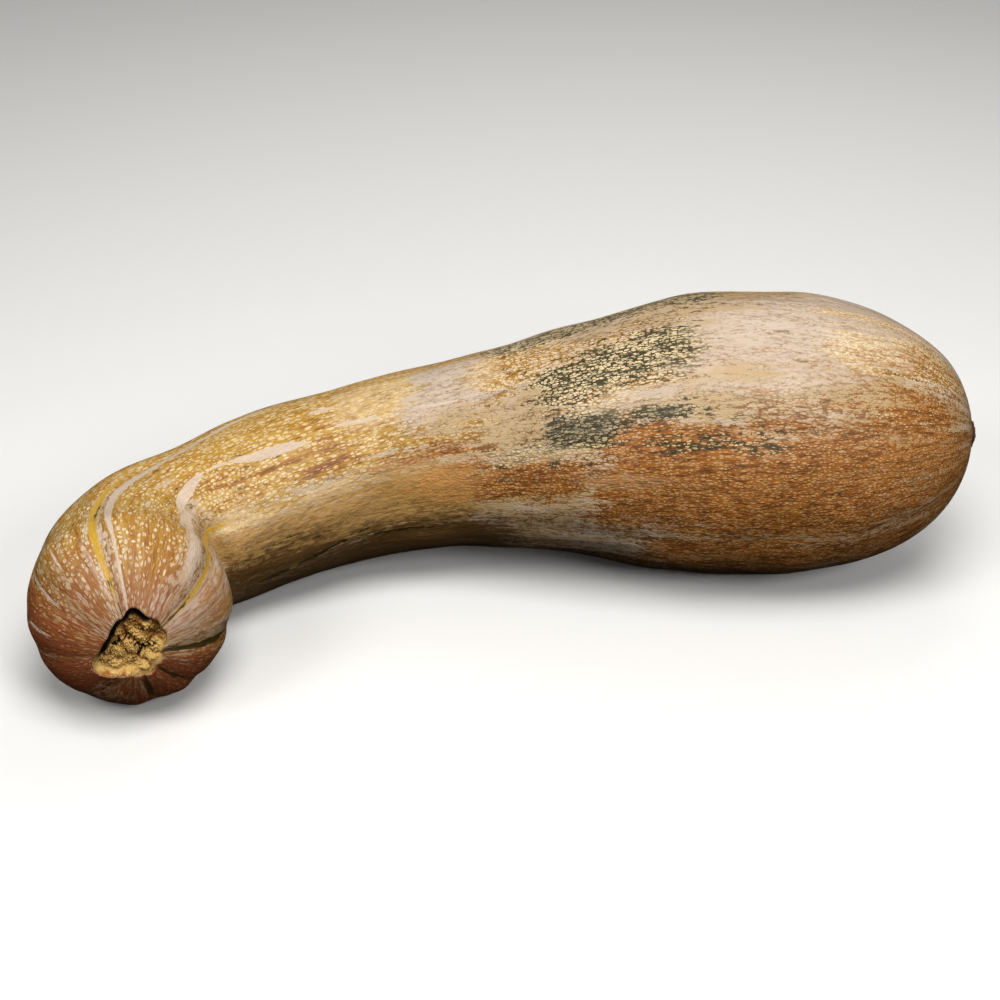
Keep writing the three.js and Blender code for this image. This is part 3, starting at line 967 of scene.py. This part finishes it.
def rind_finish():
    """Waxy skin: tan and peach, overlaid with a fine net of gold, rust and dark green round paler flecks."""
    finish = Finish("pumpkin_rind", Coat_Roughness=0.34, Coat_IOR=1.4, Specular_IOR_Level=0.3)
    noise = skin_noises(finish)
    wall, chance, other_chance = skin_net(finish)
    on = skin_regions(finish, noise, chance)
    line, thread = net_lines(finish, noise, on, wall, chance)
    fleck = fleck_colour(finish, on, plain_colour(finish, noise, on), other_chance)
    ground, deep = ground_colours(finish, noise, on)
    coloured = finish.clip(on.gold + on.rust + on.green)
    scar_wall_shade = finish.number("scar_wall_shade")
    layers = [
        (line, ground),
        (thread, deep),
        (finish.edge(noise.fibre, 0.52, 0.78) * (0.2 + 0.06 * coloured), deep),
        (on.pale_band * 0.7, PALE_SKIN),
        # Red-brown round the scar, with painted shade on the dome's underside.
        (on.blush * (0.55 + 0.35 * line), BLUSH_AND_SHADE_SKIN),
        # Painted shade low inside the neck and under the bulb.
        (on.shaded * 0.85, SHADED_SKIN),
        (on.yellow_line * 0.9, YELLOW_SKIN),
        (on.pale_mark * (0.75 + 0.2 * noise.mottle), PALE_SKIN),
        (on.green_line * 0.92, OLIVE_SKIN),
        (finish.number("flap"), TORN_LIGHT),
        # Painted shade on the scar's torn wall, darkest where the crevice is deep.
        (scar_wall_shade, TORN_WALL_SHADE),
    ]
    skin = fleck
    for cover, colour in layers:
        skin = finish.mix(cover, skin, colour)
    finish.feed("Base Color", skin)
    finish.feed("Roughness", 0.42 + 0.15 * line + (noise.fibre - 0.5) * 0.15)
    finish.feed("Coat Weight", 0.28 * (1 - scar_wall_shade))
    patched = finish.clip(finish.number("gold") + finish.number("rust") + finish.number("green"))
    height = finish.edge(wall, 0, 0.2) * (0.3 + 0.5 * patched) - noise.vein * (0.2 + 0.5 * patched)
    height = height + noise.dent * (1.4 + 1.4 * finish.number("ochre"))
    finish.feed("Normal", finish.bump(height, 0.28, 0.8))
    return finish.material


CORK_STRAW_AND_HIGHLIGHT = shade(206, 168, 98)
CORK_MID = shade(144, 98, 44)
CORK_BROWN = shade(92, 56, 22)
CORK_CRACK_SHADE = shade(24, 11, 5)
CORK_OLIVE = shade(126, 104, 46)
FLAP_LIGHT = shade(218, 178, 118)
FLAP_BROWN = shade(160, 98, 40)
BUTTON_BROWN = shade(92, 50, 28)
BUTTON_LIGHT = shade(166, 108, 66)
BUTTON_DARK = shade(48, 26, 14)


def cork_finish():
    """Dry, torn stem flesh, brown between its lumps, with painted highlights that make the lumps
    straw-coloured and painted shade that makes cracks nearly black.
    """
    finish = Finish("stem_cork", Specular_IOR_Level=0.2)
    grit = finish.grain(1.5, 1.5, 5, 0.7)
    blotch = finish.grain(5, 5, 4, 0.6)
    other_blotch = finish.grain(7, 7, 3, 0.6, (4, 8, 2))
    # Painted light: the lumps' tops and the lower half lighter, mixed with real grit and blotches.
    light = finish.number("light") + (grit - 0.5) * 1.3 + (blotch - 0.5) * 1.3
    colour = finish.mix(finish.edge(light, -0.1, 0.35), CORK_BROWN, CORK_MID)
    colour = finish.mix(finish.edge(other_blotch, 0.5, 0.62) * 0.6, colour, CORK_OLIVE)
    colour = finish.mix(finish.edge(light, 0.4, 1.0), colour, CORK_STRAW_AND_HIGHLIGHT)
    flap = finish.mix(finish.edge(blotch + (grit - 0.5) * 0.6, 0.4, 0.64), FLAP_BROWN, FLAP_LIGHT)
    torn = finish.edge(finish.number("torn") + (grit - 0.5) * 0.6, 0.3, 0.8)
    colour = finish.mix(torn * 0.85, colour, flap)
    # Painted shade in the cracks and the deep crevice, nearly black.
    painted_crack_shade = finish.number("crack_and_rim_shade") + (grit - 0.5) * 0.7 + (blotch - 0.5) * 0.6
    colour = finish.mix(finish.edge(painted_crack_shade, 0.3, 0.7), colour, CORK_CRACK_SHADE)
    finish.feed("Base Color", colour)
    finish.feed("Roughness", 0.75 + grit * 0.2)
    finish.feed("Normal", finish.bump(grit, 0.6, 0.9))
    return finish.material


def button_finish():
    """Brown-red dry cork, darkest round its edge."""
    finish = Finish("blossom_cork", Specular_IOR_Level=0.3)
    grit = finish.grain(1.2, 1.2, 4, 0.65)
    light = finish.edge(finish.number("light") + (grit - 0.5) * 0.8, 0.2, 0.9)
    rim = finish.edge(finish.number("edge") + (grit - 0.5) * 0.4, 0.3, 0.8)
    colour = finish.mix(light, BUTTON_BROWN, BUTTON_LIGHT)
    finish.feed("Base Color", finish.mix(rim * 0.85, colour, BUTTON_DARK))
    finish.feed("Roughness", 0.7 + grit * 0.2)
    finish.feed("Normal", finish.bump(grit, 0.4, 0.7))
    return finish.material


# The camera's angle above the ground, distance, target, lens and sensor.
CAMERA = {"above": 32, "distance": 1.1, "target": (-0.01415, 0.004, 0.07035), "lens": 63.87, "sensor": 36}


def make_camera():
    camera = bpy.data.objects.new("camera", bpy.data.cameras.new("camera"))
    camera.data.lens = CAMERA["lens"]
    camera.data.sensor_width = CAMERA["sensor"]
    angle = math.radians(CAMERA["above"])
    back = Vector((0, -math.cos(angle), math.sin(angle)))
    camera.location = Vector(CAMERA["target"]) + back * CAMERA["distance"]
    camera.rotation_euler = (-back).to_track_quat("-Z", "Y").to_euler()
    bpy.context.scene.collection.objects.link(camera)
    bpy.context.scene.camera = camera


# Each lamp's place, size, power and colour.
LAMPS = [
    ("key", (0.05, -0.5, 1.42), 0.9, 15.5, (1.0, 0.985, 0.965)),
    ("side", (-1.3, -0.8, 1.4), 0.7, 9, (1.0, 0.98, 0.955)),
    ("front", (0.95, -1.35, 1.2), 0.7, 15, (1.0, 0.985, 0.965)),
    ("rim", (0.25, 0.9, 1.25), 0.8, 3.5, (1.0, 0.985, 0.965)),
]
LAMPS_AIM = Vector((0, 0, 0.05))


def make_lamps():
    for name, place, size, power, colour in LAMPS:
        lamp = bpy.data.lights.new(name, "AREA")
        lamp.shape = "DISK"
        lamp.size = size
        lamp.energy = power
        lamp.color = colour
        holder = bpy.data.objects.new(name, lamp)
        holder.location = place
        aim = LAMPS_AIM - Vector(place)
        holder.rotation_euler = aim.to_track_quat("-Z", "Y").to_euler()
        bpy.context.scene.collection.objects.link(holder)


FLOOR_HALF = 12


def make_floor():
    """Pale ground that takes the fruit's shadow. It sends no light back to the fruit."""
    half = FLOOR_HALF
    mesh = bpy.data.meshes.new("floor")
    corners = [(-half, -half, 0), (half, -half, 0), (half, half, 0), (-half, half, 0)]
    mesh.from_pydata(corners, [], [(0, 1, 2, 3)])
    floor = bpy.data.objects.new("floor", mesh)
    bpy.context.scene.collection.objects.link(floor)
    paint = Finish("floor", Roughness=0.9, Specular_IOR_Level=0.1, Base_Color=(0.86, 0.86, 0.85, 1))
    mesh.materials.append(paint.material)
    floor.visible_diffuse = False
    floor.visible_glossy = False


SKY = (0.93, 0.93, 0.92, 1)
SKY_STRENGTH = 0.2
GROUND_LIGHT = (0.03, 0.022, 0.016, 1)
HORIZON = (-0.12, 0.02)


def make_air():
    """Pale air above the horizon, and hardly any light from below it, so the underside stays in shade."""
    world = bpy.data.worlds.new("air")
    air = Tree(world, "Background", {"Strength": SKY_STRENGTH})
    height = air.node("SeparateXYZ", None, {"Vector": air.node("TexCoord", output="Generated")}, "Z")
    sockets = {"Value": height, "From Min": HORIZON[0], "From Max": HORIZON[1]}
    air.feed("Color", air.mix(air.node("MapRange", None, sockets, "Result"), GROUND_LIGHT, SKY))
    bpy.context.scene.world = world
    bpy.context.scene.view_settings.view_transform = "Standard"


make_camera()
make_lamps()
make_air()
make_floor()
make_skin(rind_finish())
make_cork(cork_finish())
make_button(button_finish())
